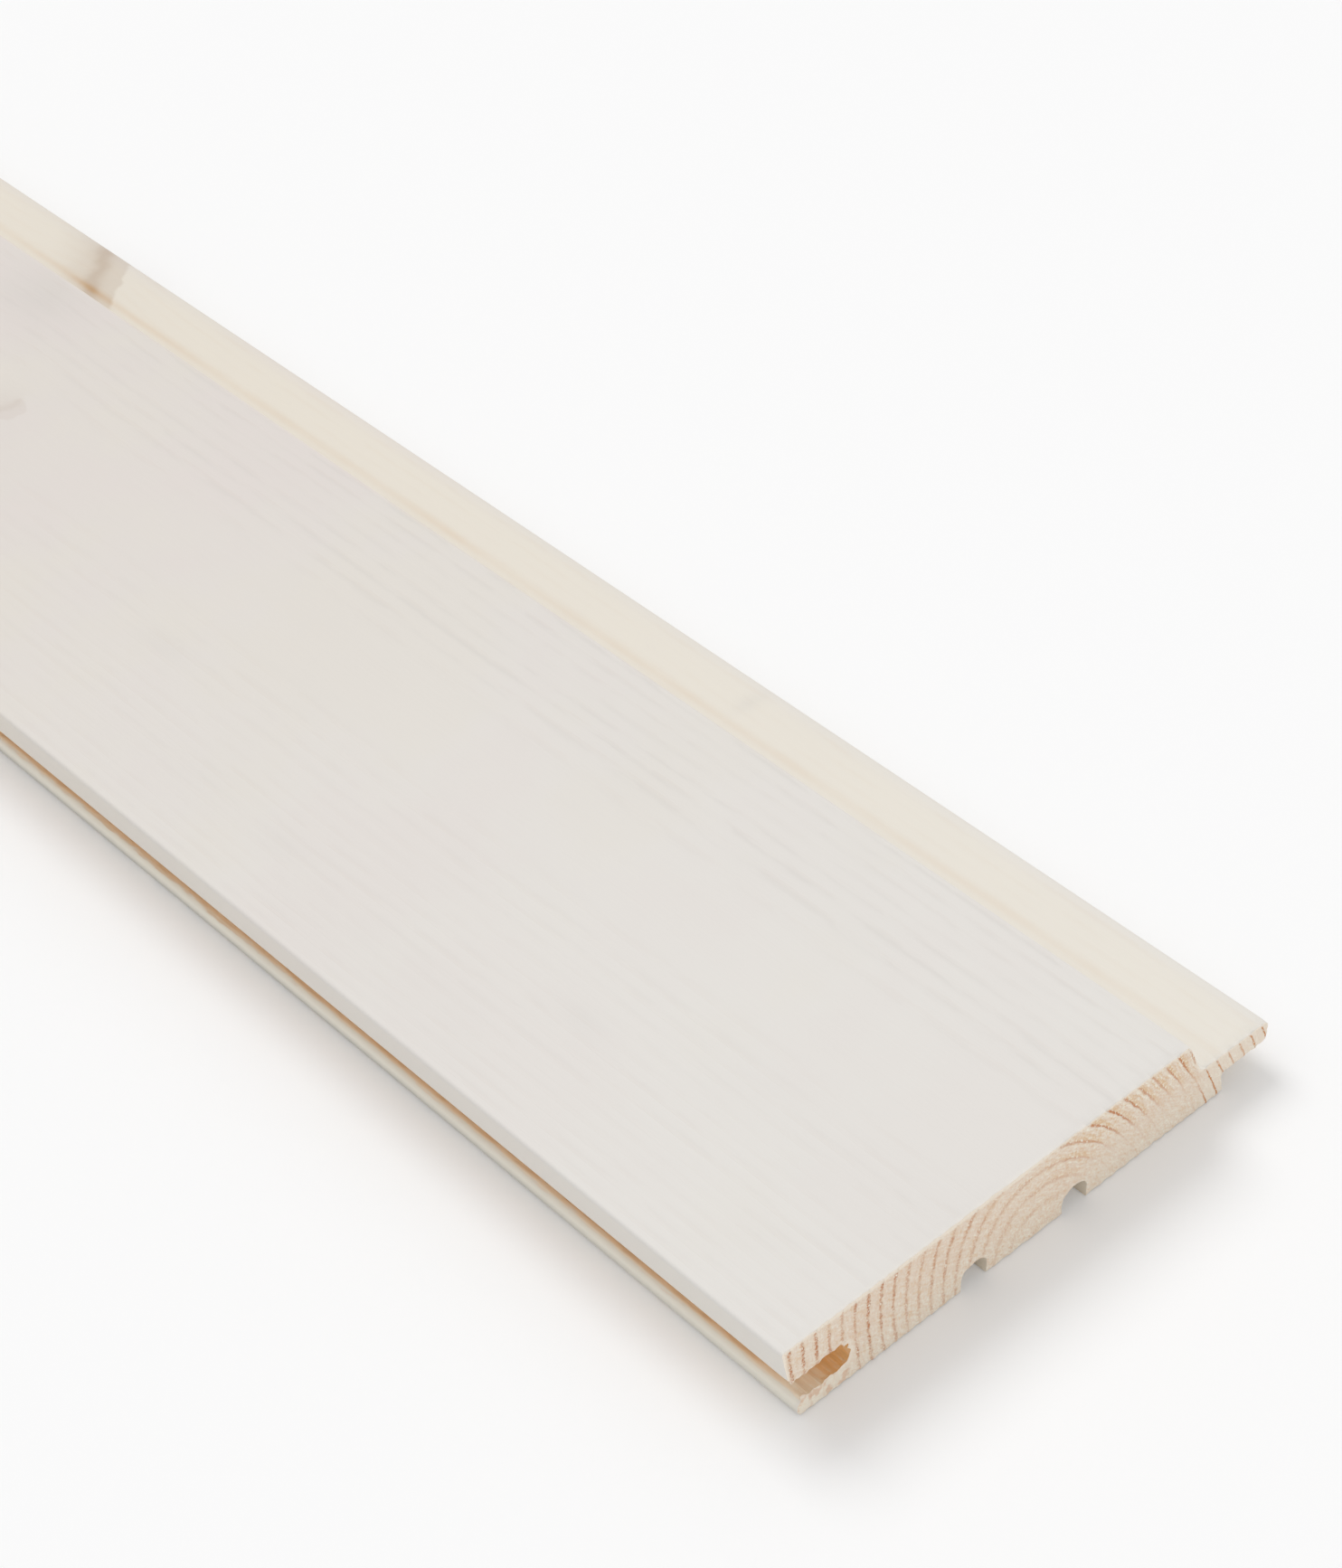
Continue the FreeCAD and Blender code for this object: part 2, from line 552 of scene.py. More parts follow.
@dataclass(frozen=True)
class PlanedFinish:
    """Planed softwood under a thin white glaze on the face, shoulder, tongue and lips, bare elsewhere.

    A span holds the two places, in millimetres, between which something fades in.
    """

    section: Section
    log: Log
    half_length: float
    lip_y: float
    early: Colour = (0.88, 0.73, 0.53, 1.0)
    late: Colour = (0.66, 0.42, 0.20, 1.0)
    # Paler bare wood, as painted light bounced from the floor into the kerfs; also the groove's pale flecks.
    kerf: Colour = (0.93, 0.84, 0.70, 1.0)
    mouth: Colour = (0.91, 0.70, 0.47, 1.0)
    # Darker orange for deep in the groove: painted shade of its hollow.
    painted_groove_shade: Colour = (0.90, 0.54, 0.22, 1.0)
    knot: Colour = (0.29, 0.14, 0.04, 1.0)
    amber: Colour = (0.62, 0.40, 0.20, 1.0)
    glaze: Colour = (0.753, 0.734, 0.708, 1.0)
    aged_glaze: Colour = (0.702, 0.658, 0.623, 1.0)
    blush: Colour = (0.715, 0.648, 0.638, 1.0)
    cream: Colour = (0.728, 0.692, 0.618, 1.0)
    tongue_glaze: Colour = (0.787, 0.749, 0.678, 1.0)
    aged_tongue: Colour = (0.759, 0.707, 0.620, 1.0)
    # Cream glaze on the lower lip's nose, made brighter than the face's glaze as painted light bounced up
    # from the floor.
    nose_glaze_and_light: Colour = (0.88, 0.85, 0.755, 1.0)
    # Paler glaze of torn fibres at the sawn ends, also painted light over the torn edge's shade.
    torn_and_lit_glaze: Colour = (0.81, 0.77, 0.71, 1.0)
    # Grey painted shade for the nose's lower part, near the floor.
    painted_nose_shade: Colour = (0.44, 0.44, 0.41, 1.0)
    cloud: Colour = (0.54, 0.52, 0.50, 1.0)
    full_cover: float = 0.90
    tongue_cover: float = 0.93
    nose_cover: float = 0.95
    wave: Grain = Grain((0.2, 1.0, 1.0), 0.06, 1.0)
    ripple: Grain = Grain((0.05, 0.25, 0.25), 1.0, 2.0)
    fibre: Grain = Grain((0.03, 1.0, 1.0), 2.6, 3.0)
    streak: Grain = Grain((0.04, 1.0, 1.0), 0.55, 3.0)
    mottle: Grain = Grain((0.5, 1.0, 1.0), 0.05, 2.0)
    lump: Grain = Grain((1.0, 1.0, 1.0), 0.22, 2.0)
    dash: Grain = Grain((0.18, 0.8, 1.0), 0.6, 2.0)
    patch: Grain = Grain((1.0, 0.8, 1.0), 0.032, 3.0)
    chip: Grain = Grain((0.22, 1.3, 1.3), 1.2, 3.0)
    spell: Grain = Grain((1.0, 0.0, 0.0), 0.035, 3.0, (0.0, 0.0, 3.0))
    drift: Grain = Grain((1.0, 0.5, 0.0), 0.004, 2.0, (0.0, 0.0, 11.0))
    age_run: Span = (0.0, 270.0)
    drift_run: Span = (320.0, 620.0)
    edge_run: Span = (20.0, 200.0)
    root_run: Span = (0.0, 200.0)
    line_fade: Span = (150.0, 290.0)
    line_rise: Span = (50.0, 62.0)
    level_rise: Span = (10.0, 14.0)
    tongue_fade: Span = (4.4, 6.9)
    tip_fade: Span = (91.0, 94.6)
    nose_end: Span = (3.8, 4.2)
    lip_shade_tint: Span = (2.0, 4.0)
    lip_shade_tint_top: Span = (13.8, 14.8)
    nose_shade_rise: Span = (0.3, 2.3)
    nose_shade_run: Span = (5.0, 90.0)
    groove_end: Span = (12.9, 13.3)
    groove_shade_run: Span = (4.5, 11.5)
    end_light_depth: Span = (5.5, 10.0)
    end_light_run: Span = (2.0, 10.0)
    branch_start: Span = (0.0, 6.0)
    branch_side: Span = (-0.5, 1.5)
    level_middle: float = 45.0
    root_gap: float = 3.9
    knot_blur: float = 4.0
    torn_and_lit_reach: float = 1.0
    roughness: float = 0.62
    gloss: float = 0.35
    relief_depth: float = 0.00003

    def site(self, sheet: Sheet) -> Site:
        """Finds the place on the board from the object's own coordinates.

        Args:
            sheet: The material's nodes.

        Returns:
            The distances behind the near end, across from the lip's edge and above the back.
        """
        source = sheet.node("ShaderNodeTexCoord")
        split = sheet.node("ShaderNodeSeparateXYZ", None, {0: source.outputs["Object"]})
        x, y, z = (Value(sheet, output) * (1.0 / MM) for output in split.outputs)
        behind, across = self.half_length - x, y - self.lip_y
        return Site(sheet, behind, across, z, sheet.vector(behind, across, z))

    def branches(self, sheet: Sheet, place: Socket) -> tuple[Number, Number, Number]:
        """Knots at a place.

        Args:
            sheet: The material's nodes.
            place: Behind, across and height as a vector.

        Returns:
            How much the rings stray, the knots' own dark share, and the soft halo round them.
        """
        stray: Number = 0.0
        inside: Number = 0.0
        halo: Number = 0.0
        for knot in self.log.knots:
            gap, outward, lead = knot.beside(sheet, place)
            grown = outward.step(*self.branch_start)
            after = lead.step(*self.branch_side)
            girth = knot.radius
            stray = stray - bell(gap * (0.45 / girth)) * grown * knot.sway
            sharp = (1.0 - gap.step(girth * 0.95, girth * 1.12)) * (1.0 - after)
            soft = bell(gap * (0.78 / girth)) * after
            heart = bell(lead * (4.2 / girth)) * (1.0 - gap.step(girth * 0.9, girth * 1.3))
            inside = inside + (sharp * 0.8 + soft * 0.85 + heart * 0.85) * (grown * knot.dark)
            halo = halo + bell(gap * (0.4 / girth)) * (grown * knot.dark)
        return stray, inside, halo

    def cover(self, site: Site, streak: Value, chip: Value) -> tuple[Value, Value, Value]:
        """How much glaze lies on each planed surface.

        Args:
            site: The place on the board.
            streak: Long streaky noise from 0 to 1.
            chip: Short streaky noise from 0 to 1.

        Returns:
            The share of the glaze, and what of it lies on the tongue and on the lower lip's nose.
        """
        section = self.section
        across, height = site.across, site.height
        upper = height.step(section.groove_top + 0.05, section.groove_top + 0.7)
        tongue = across.step(section.shoulder_foot - 1.2, section.shoulder_foot + 0.4)
        tongue = tongue * height.step(*self.tongue_fade) * (1.0 - upper)
        ragged = (chip - 0.5) * 0.9
        nose = (height + ragged).band(0.3, section.groove_back - 0.35, 0.25)
        nose = nose * (1.0 - (across + ragged).step(*self.nose_end))
        edge_line = bell((across - section.face_edge) * 2.4)
        edge_line = edge_line * (site.behind.step(*self.edge_run) * 0.85 + 0.15)
        share = upper * self.full_cover + tongue * self.tongue_cover + nose * self.nose_cover
        return share - edge_line * (streak.step(0.3, 0.7) * 0.15 + 0.05), tongue, nose

    def bare(self, site: Site, line: Value, streak: Value, chip: Value) -> Socket:
        """Colour of the bare wood: pale on the back and in the kerfs, paler there as painted light; orange
        towards the groove's end, darker deeper in as painted shade, and paler near the sawn ends as painted
        light.

        Args:
            site: The place on the board.
            line: Share of the dark late wood.
            streak: Long streaky noise from 0 to 1.
            chip: Short streaky noise from 0 to 1.

        Returns:
            The colour's socket.
        """
        section, layers = self.section, site.sheet.layers
        across, height = site.across, site.height
        groove = 1.0 - across.step(*self.groove_end)
        groove = groove * height.band(section.groove_back, section.groove_top, 0.2)
        # Painted light: the groove turns paler near its mouth, within a few millimetres of the sawn ends.
        painted_end_light = (1.0 - across.step(*self.end_light_depth)) * (1.0 - site.behind.step(*self.end_light_run)) * 0.6
        hollow = layers(
            self.mouth,
            # Painted shade: pale at the groove's mouth, darker orange deeper in.
            ((across + (streak - 0.5) * 8.0).step(*self.groove_shade_run), self.painted_groove_shade),
            (chip.step(0.48, 0.66) * 0.35, self.late),
            (painted_end_light + (1.0 - chip.step(0.34, 0.48)) * 0.35, self.kerf),
        )
        return layers(
            self.early,
            # Painted light: bare surfaces above the back plane, the kerf walls among them, take the paler
            # kerf wood.
            (height.step(0.0, 0.2), self.kerf),
            (groove, hollow),
            (line * (0.8 - groove * 0.35), self.late),
        )

    def stain(self, site: Site, halo: Number, fibre: Value) -> Value:
        """Grey clouds in the glaze: round the knots, where a smudge is placed, and a faint mottle all over.

        Args:
            site: The place on the board.
            halo: The soft halo round the knots.
            fibre: Fine noise along the fibres from 0 to 1.

        Returns:
            The share of grey.
        """
        cloudy: Number = halo * 0.35
        for smudge in self.log.smudges:
            along = (site.behind - smudge.behind) * (1.0 / smudge.length)
            aside = (site.across - smudge.across) * (1.0 / smudge.width)
            cloudy = cloudy + bell(root(along * along + aside * aside)) * smudge.strength
        mottle = self.mottle.read(site.sheet, site.place)
        return cloudy * (fibre * 0.6 + 0.4) * 0.30 + mottle.step(0.45, 0.85) * 0.05

    def coat(self, site: Site, tongue: Value, nose: Value, grey: Value) -> Socket:
        """Colour of the glaze: white near the end, then rosy and creamy, warm on the tongue, warmed on the
        lip side as a painted shade tint, and grey low on the nose as painted shade.

        Args:
            site: The place on the board.
            tongue: Share of the tongue.
            nose: Share of the lower lip's nose, whose lower part is greyed as painted shade near the floor.
            grey: Share of the grey clouds and lines.

        Returns:
            The colour's socket.
        """
        layers, behind, across = site.sheet.layers, site.behind, site.across
        patch = self.patch.read(site.sheet, site.place)
        drift = self.drift.read(site.sheet, site.place)
        fresher = drift.step(0.42, 0.62) * behind.step(*self.drift_run) * 0.85
        age = behind.step(*self.age_run) * (1.0 - fresher)
        glaze = layers(
            self.glaze,
            (age, self.aged_glaze),
            (patch.step(0.44, 0.64) * (age * 0.30 + 0.12), self.blush),
            ((1.0 - patch.step(0.34, 0.50)) * (age * 0.30 + 0.10), self.cream),
        )
        warm = layers(self.tongue_glaze, (age, self.aged_tongue), (across.step(*self.tip_fade) * 0.5, glaze))
        edge = self.section.face_edge
        shoulder = across.step(edge, edge + 0.6) * (1.0 - tongue)
        # Painted shade tint: the lip side is warmed towards the tongue's glaze.
        side = (1.0 - across.step(*self.lip_shade_tint)) * (1.0 - site.height.step(*self.lip_shade_tint_top))
        # Painted shade: grey on the nose's lower part near the floor, stronger away from the near end.
        nose_shade = 1.0 - site.height.step(*self.nose_shade_rise)
        nose_shade = nose_shade * (behind.step(*self.nose_shade_run) * 0.45 + 0.5)
        return layers(
            glaze,
            (tongue + shoulder * 0.5 + side * 0.4, warm),
            (nose, layers(self.nose_glaze_and_light, (nose_shade, self.painted_nose_shade))),
            (grey, self.cloud),
        )

    def root_line(self, site: Site, inside: Number) -> Value:
        """Amber line along the tongue's root, stronger away from the end and at a knot.

        Args:
            site: The place on the board.
            inside: The knots' dark share.

        Returns:
            The share of amber.
        """
        spell = self.spell.read(site.sheet, site.place)
        line = bell((site.across - self.section.shoulder_foot - self.root_gap) * 1.2)
        line = line * (spell.step(0.38, 0.62) * 0.7 + 0.6)
        return line * (site.behind.step(*self.root_run) * 0.10 + 0.09) * (inside * 1.5 + 1.0)

    def material(self) -> bpy.types.Material:
        """Makes the planed surfaces' material.

        Returns:
            The material.
        """
        sheet = Sheet(bpy.data.materials.new("glazed_softwood"))
        site = self.site(sheet)
        behind, across, height = site.behind, site.across, site.height
        wave, ripple, fibre, streak, lump, dash, chip = (
            grain.read(sheet, site.place)
            for grain in (self.wave, self.ripple, self.fibre, self.streak, self.lump, self.dash, self.chip)
        )

        # Knots push the rings aside, and each ring ends in a dark line.
        blurred = sheet.vector(behind + (lump - 0.5) * self.knot_blur, across, height)
        knot_stray, inside, halo = self.branches(sheet, blurred)
        stray = (wave - 0.5) * 1.6 + (ripple - 0.5) * 0.5 + knot_stray
        _, count = self.log.rings(across, height, stray)
        share = count.part()
        tone = self.log.vigour((count + 0.3).whole())
        dark = share.step(0.5, 0.93) * (1.0 - share.step(0.955, 1.0)) * (tone * 0.5 + 0.5)
        dark = dark * (fibre.step(0.2, 0.6) * 0.5 + 0.5)
        broken = dash.step(0.40, 0.62) * 0.85 + 0.15
        level = bell((across - self.level_middle) * 0.11) * height.step(*self.level_rise)
        band = bell(((count + 0.84).part() - 0.5) * 5.2) * (tone * 0.6 + 0.4)
        band = band * broken * (1.0 - level)

        # The glaze, with grey clouds and the faint lines that show in it.
        amount, tongue, nose = self.cover(site, streak, chip)
        grey_line = band * (across.step(*self.line_rise) * 0.12 + 0.10) * (1.0 - tongue)
        grey_line = grey_line * (1.0 - behind.step(*self.line_fade) * 0.4)
        glaze = self.coat(site, tongue, nose, self.stain(site, halo, fibre) + grey_line)

        # Bare wood, then the glaze and what shows through it.
        shown = dark * (1.0 - amount) + dark * amount * broken * (1.0 - level * 0.8) * 0.5
        # Within a millimetre of each sawn end the glaze turns paler: torn fibres, and painted light over the
        # shade of the torn edge's facets.
        torn = abs(behind - self.half_length).step(self.half_length - self.torn_and_lit_reach, self.half_length)
        colour = sheet.layers(
            self.bare(site, shown, streak, chip),
            (amount + (fibre - 0.5) * amount * 0.06, glaze),
            ((self.root_line(site, inside) + band * 0.05) * tongue, self.amber),
            (inside * (0.85 - amount * 0.65), self.knot),
            (torn * (fibre * 0.5 + 0.5) * amount, self.torn_and_lit_glaze),
        )
        roughness = self.roughness + fibre * 0.1 - dark * 0.08
        sheet.finish(colour, roughness, fibre * 0.6 + dark * 0.4, self.relief_depth, self.gloss)
        return sheet.owner


@dataclass(frozen=True)
class SawnFinish:
    """Cross-cut end of the board: dotted ring lines, golden late wood and pale early wood."""

    planed: PlanedFinish
    early: Colour = (0.885, 0.76, 0.635, 1.0)
    rosy: Colour = (0.855, 0.69, 0.562, 1.0)
    pale: Colour = (0.99, 0.93, 0.80, 1.0)
    gold: Colour = (0.80, 0.55, 0.32, 1.0)
    line: Colour = (0.58, 0.23, 0.10, 1.0)
    clear_line: Colour = (0.64, 0.27, 0.12, 1.0)
    flame: Colour = (0.68, 0.28, 0.09, 1.0)
    # Bruised pale fibres on the sawn edges, pushed near white as a painted highlight.
    rim: Colour = (0.98, 0.88, 0.75, 1.0)
    grit: Grain = Grain((0.0, 1.0, 1.0), 2.6, 3.0)
    fleck: Grain = Grain((0.0, 1.0, 1.0), 1.8, 2.0, (40.0, 0.0, 0.0))
    blotch: Grain = Grain((0.0, 1.0, 1.0), 0.55, 2.0)
    patch: Grain = Grain((0.0, 1.0, 1.0), 0.12, 1.0)
    strand: Grain = Grain((2.4, 22.0, 1.0), 1.0, 2.0, (0.0, 0.0, 7.0))
    scratch: Grain = Grain((1.0, 0.35, 2.0), 1.0, 3.0, (9.0, 0.0, 0.0))
    right_side: Span = (46.0, 58.0)
    left_calm: Span = (20.0, 30.0)
    left_rise: Span = (1.0, 9.0)
    upper_rise: Span = (3.0, 9.5)
    tongue_run: Span = (79.0, 83.0)
    lip_run: Span = (11.0, 15.0)
    lip_rise: Span = (2.6, 3.6)
    bulge_rise: Span = (8.0, 11.0)
    # Painted light: the end grows paler towards the back, over the floor's shade.
    low_light_rise: Span = (0.0, 9.0)
    heart: Span = (9.0, 17.0)
    bulge_middle: float = 79.5
    upper_slope: float = 0.04
    saw_slope: float = 0.6
    roughness: float = 0.85
    gloss: float = 0.2
    relief_depth: float = 0.00018

    def pale_rim_and_highlight(self, site: Site, grit: Value) -> Value:
        """The pale bruised line along the edges of the face, the tongue and the groove, pushed near white as
        a painted highlight on the edges.

        Args:
            site: The place on the board.
            grit: Fine noise from 0 to 1.

        Returns:
            The share of the pale line.
        """
        sheet, across, height = site.sheet, site.across, site.height
        edge = sheet.node("ShaderNodeAttribute", {"attribute_name": EDGE_ATTRIBUTE})
        gap = Value(sheet, edge.outputs["Fac"]) + (grit - 0.5) * 1.2 - across.band(10.0, 44.0, 8.0) * 0.35
        face = height.step(12.6, 14.2)
        tongue = across.step(78.0, 79.0) * height.step(6.2, 7.2)
        lips = (1.0 - across.step(2.0, 4.0)) * (1.0 - height.band(2.0, 8.6, 0.4) * 0.5)
        groove = across.band(11.0, 14.0, 0.6) * height.band(3.0, 8.5, 0.4) * 0.7
        return (1.0 - gap.step(0.05, 0.55)) * (face + tongue + lips + groove)

    def material(self) -> bpy.types.Material:
        """Makes the sawn ends' material.

        Returns:
            The material.
        """
        sheet = Sheet(bpy.data.materials.new("sawn_end_grain"))
        log = self.planed.log
        site = self.planed.site(sheet)
        across, height = site.across, site.height
        grit, fleck, blotch, patch = (
            grain.read(sheet, site.place) for grain in (self.grit, self.fleck, self.blotch, self.patch)
        )
        right = across.step(*self.right_side)
        bulge = bell((across - self.bulge_middle) * 0.5) * height.step(*self.bulge_rise) * 1.1
        stray = (grit - 0.5) * (0.95 - right * 0.5) + (blotch - 0.5) * 0.5 + bulge
        radius, count = log.rings(across, height, stray)
        off = (count + 0.5).part() - 0.5
        tone = log.vigour((count + 0.5).whole())
        strand = self.strand.read(sheet, sheet.vector(radius, log.turned(across, height), 0.0))
        slope = self.saw_slope
        sawn = sheet.vector(0.0, across - height * slope, height + across * slope)
        scratch = self.scratch.read(sheet, sawn)

        # Dotted lines on the groove's side, clear ones on the tongue's side.
        upper = (height - across * self.upper_slope).step(*self.upper_rise)
        tongue = across.step(*self.tongue_run)
        lower_lip = (1.0 - across.step(*self.lip_run)) * (1.0 - height.step(*self.lip_rise))
        young = radius.step(*self.heart) * 0.6 + 0.4
        dash = fleck.step(0.36, 0.56)
        swell = blotch.step(0.36, 0.62)
        left_line = 1.0 - abs(off).step(0.03, swell * 0.06 + 0.10)
        left_line = left_line * (tone * 0.45 + 0.6) * (dash * 0.9 + 0.4)
        left_line = left_line * (height.step(*self.left_rise) * 0.35 + 0.65) * (swell * 0.6 + 0.55)
        left_line = left_line * (1.0 - across.step(*self.left_calm) * 0.35) * (1.0 - lower_lip * 0.6)
        right_line = 1.0 - abs(off).step(0.02, swell * 0.05 + 0.08)
        right_line = right_line * (tone * 0.4 + 0.6) * (dash * 0.25 + 0.9)
        right_line = right_line * (upper * 1.05 + tongue * (1.0 - upper) * 1.15 + 0.14)
        line = (left_line * (1.0 - right) + right_line * right) * young

        # Golden wood outside each line, pale wood inside it.
        outer = off.step(-0.02, 0.04) * (1.0 - off.step(0.2, 0.5))
        near = 1.0 - abs(off).step(0.06, 0.3)
        golden = outer * right * (patch.step(0.3, 0.6) * 0.6 + 0.5) * (upper * 0.85 + 0.15) * (1.0 - tongue)
        golden = golden + near * (1.0 - right) * 0.3
        cream = (1.0 - off.step(-0.25, -0.06)) * off.step(-0.45, -0.25) * right * upper

        # Light and dim fibres, the end painted paler towards the back as painted light against the floor's
        # shade, then every colour from the lowest up.
        rough = right * (upper * 0.5 - 0.1) + 0.6
        light = grit.step(0.5, 0.66) * 0.45 + strand.step(0.52, 0.68) * 0.6
        painted_low_light = 1.0 - height.step(*self.low_light_rise)
        light = light * rough + scratch.step(0.52, 0.68) * 0.4 + (cream + painted_low_light) * 0.4
        dim = (1.0 - grit.step(0.34, 0.5)) * 0.45 + (1.0 - strand.step(0.3, 0.48)) * 0.6
        dim = dim * rough + (1.0 - scratch.step(0.32, 0.48)) * 0.3
        dye = sheet.layers(self.line, (right, self.clear_line), (tongue, self.flame))
        wood = sheet.layers(
            self.early,
            (patch.step(0.3, 0.7) * 0.6, self.rosy),
            (golden * (fleck.step(0.3, 0.6) * 0.6 + 0.4), self.gold),
            (light, self.pale),
            (dim * (1.0 - tongue * 0.6), self.gold),
            (line * 0.8, dye),
            (fleck.step(0.56, 0.66) * (golden + line * 0.9) * 0.85, self.pale),
            ((lower_lip + tongue * 0.6) * 0.5 * (1.0 - line), self.pale),
            (lower_lip * blotch.step(0.5, 0.64) * 0.4, self.flame),
            (self.pale_rim_and_highlight(site, grit), self.rim),
        )
        relief = grit * 0.7 + fleck * 0.3 + line * 0.3
        sheet.finish(wood, self.roughness, relief, self.relief_depth, self.gloss)
        return sheet.owner


@dataclass
class Board:
    """The whole board: section run out along the length, rounded edges, torn sawn ends."""

    section: Section
    log: Log
    half_length: float
    lip_y: float
    round_steps: int = 8
    fillet_share: float = 0.48
    grid: float = 0.3
    end_stations: tuple[float, ...] = (0.35, 0.8, 1.6, 3.0)
    long_stations: tuple[float, ...] = (15.0, 60.0, 180.0, 400.0, 650.0)
    facet: float = 0.35
    slack: float = 0.01
    early_recess: float = 0.10
    early_middle: float = 0.35
    pit_depth: float = 0.10
    pit_pitch: float = 2.4
    worn_reach: float = 0.45
    edge_reach: float = 3.0
    tear_reach: float = 1.8
    tear_depth: float = 1.6
    face_tear: float = 0.14
    slanted_tear: float = 0.34
    side_tear: float = 0.12
    rough_pitch: float = 1.6
    teeth_pitch: float = 0.9
    fringe: float = 0.75
    fringe_end: float = 13.0
    pit_seed: float = 7.3
    rough_seed: float = 3.1
    teeth_seed: float = 5.3
    map_reach: float = 204.8
    map_margin: float = 0.006

    def build(self) -> bpy.types.Object:
        """Makes the board's mesh and object.

        Returns:
            The object, at the origin, with its place in its mesh.
        """
        shape = bmesh.new()
        self.run_out(shape)
        self.lay_out(shape)
        self.cut_stations(shape)
        for end in End:
            self.cut_grid(shape, end)
            self.tear_end(shape, end)
        bmesh.ops.translate(shape, vec=(0.0, self.lip_y, 0.0), verts=shape.verts)
        bmesh.ops.scale(shape, vec=(MM, MM, MM), verts=shape.verts)
        mesh = bpy.data.meshes.new("board_dressed")
        shape.to_mesh(mesh)
        shape.free()
        piece = bpy.data.objects.new("board_dressed", mesh)
        bpy.context.scene.collection.objects.link(piece)
        return piece

    def run_out(self, shape: Shape) -> None:
        """Draws the section, rounds its corners and runs it out along the length.

        Args:
            shape: The mesh to fill.
        """
        corners = self.section.corners()
        points = [shape.verts.new((self.half_length, across, height)) for across, height, _ in corners]
        shape.faces.new(points)
        reaches = []
        for index, (_, _, radius) in enumerate(corners):
            back = points[index - 1].co - points[index].co
            ahead = points[(index + 1) % len(points)].co - points[index].co
            reach = radius / math.tan(back.angle(ahead) / 2)
            reaches.append(min(reach, self.fillet_share * min(back.length, ahead.length)))
        for point, reach in zip(points, reaches):
            if reach > 0.0:
                bmesh.ops.bevel(
                    shape,
                    geom=[point],
                    offset=reach,
                    offset_type="OFFSET",
                    affect="VERTICES",
                    segments=self.round_steps,
                    profile=0.5,
                    material=-1,
                )
        run = bmesh.ops.extrude_face_region(shape, geom=shape.faces[:])
        far = [item for item in run["geom"] if isinstance(item, bmesh.types.BMVert)]
        bmesh.ops.translate(shape, vec=(-2.0 * self.half_length, 0.0, 0.0), verts=far)
        bmesh.ops.recalc_face_normals(shape, faces=shape.faces[:])
        for face in shape.faces:
            ends = abs(face.normal.x) > 0.5
            face.material_index = Surface.SAWN if ends else Surface.PLANED
            short = min(edge.calc_length() for edge in face.edges)
            face.smooth = ends or short < self.facet

    def lay_out(self, shape: Shape) -> None:
        """Lays out the bake map: both ends large, the long sides as one strip.

        Args:
            shape: The board before it is cut up.
        """
        layer = shape.loops.layers.uv.new(BAKE_MAP)
        margin = self.map_margin
        floor = self.section.thickness / self.map_reach + 2.0 * margin
        ends = [face for face in shape.faces if face.material_index == Surface.SAWN]
        for face in ends:
            for corner in face.loops:
                _, across, height = corner.vert.co
                aside = margin + across / self.map_reach
                corner[layer].uv = (
                    aside if face.normal.x > 0.0 else 1.0 - aside,
                    margin + height / self.map_reach,
                )
        girth = sum(edge.calc_length() for edge in ends[0].edges)
        walked = 0.0
        for start in ends[0].loops:
            side = start.link_loop_radial_next.face
            for corner in side.loops:
                step = (corner.vert.co - start.vert.co).yz.length
                along = 0.5 + (0.5 - margin) * corner.vert.co.x / self.half_length
                corner[layer].uv = (along, 1.0 - margin - (1.0 - margin - floor) * (walked + step) / girth)
            walked += start.edge.calc_length()

    def cut_stations(self, shape: Shape) -> None:
        """Cuts the board across at each station, close together near both ends.

        Args:
            shape: The mesh to cut.
        """
        for end in End:
            for station in self.end_stations + self.long_stations:
                self.slice(shape, shape.faces[:], (end * (self.half_length - station), 0.0, 0.0), 0)
        self.slice(shape, shape.faces[:], (0.0, 0.0, 0.0), 0)

    @staticmethod
    def slice(shape: Shape, faces: list[Face], place: Corner, axis: int) -> list[Face]:
        """Cuts faces along one plane.

        Args:
            shape: The mesh to cut.
            faces: The faces that the cut may touch.
            place: A point on the plane.
            axis: The axis that the plane stands square to.

        Returns:
            The faces after the cut.
        """
        edges = dict.fromkeys(edge for face in faces for edge in face.edges)
        points = dict.fromkeys(point for face in faces for point in face.verts)
        square = Vector((0.0, 0.0, 0.0))
        square[axis] = 1.0
        cut = bmesh.ops.bisect_plane(
            shape, geom=[*points, *edges, *faces], dist=CUT_SLACK, plane_co=place, plane_no=square
        )
        return [item for item in cut["geom"] if isinstance(item, Face)]

    def end_zone(self, shape: Shape, end: End) -> list[Face]:
        """Faces that lie wholly within the last station of one end."""
        limit = self.half_length - self.end_stations[-1] - self.slack
        return [face for face in shape.faces if all(point.co.x * end > limit for point in face.verts)]

    def cut_grid(self, shape: Shape, end: End) -> None:
        """Cuts one end and the strips behind it into small squares.

        Args:
            shape: The mesh to cut.
            end: Which end.
        """
        for axis, size in ((1, self.section.tongue_tip), (2, self.section.thickness)):
            faces = self.end_zone(shape, end)
            for number in range(int(size / self.grid)):
                place = [0.0, 0.0, 0.0]
                place[axis] = (number + 0.5) * self.grid
                ahead = [face for face in faces if max(p.co[axis] for p in face.verts) > place[axis]]
                faces = self.slice(shape, ahead, tuple(place), axis)

